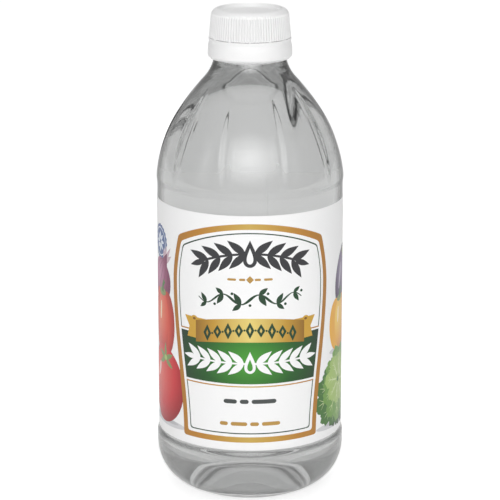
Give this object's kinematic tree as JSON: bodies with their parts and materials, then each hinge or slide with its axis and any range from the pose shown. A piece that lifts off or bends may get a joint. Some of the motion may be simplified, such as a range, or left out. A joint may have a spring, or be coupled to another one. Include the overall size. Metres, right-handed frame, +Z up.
{
  "type": "vinegar bottle",
  "caption": "Clear glass bottle of clear vinegar with a fluted shoulder, a wraparound label and a white ribbed screw cap over a tamper band.",
  "frame": {"origin": "centre of the base, on the plane that the bottle stands on", "axes": "+Z up along the bottle's axis from base to cap, -Y towards the front of the label, +X to the right of the label as seen from the front"},
  "size_m": [0.0732, 0.0732, 0.1893],
  "materials": {
    "clear_glass": "clear smooth flint glass",
    "vinegar_liquid": "clear colourless liquid",
    "label_paper": "white coated paper, satin",
    "label_print": "printed ink in green, gold and vegetable colours, satin",
    "white_closure": "white moulded plastic, semi-gloss"
  },
  "bodies": {
    "root": {"bottle": "clear_glass", "vinegar": "vinegar_liquid", "label": "label_paper", "cap": "white_closure", "tamper_band": "white_closure"}
  },
  "joints": []
}
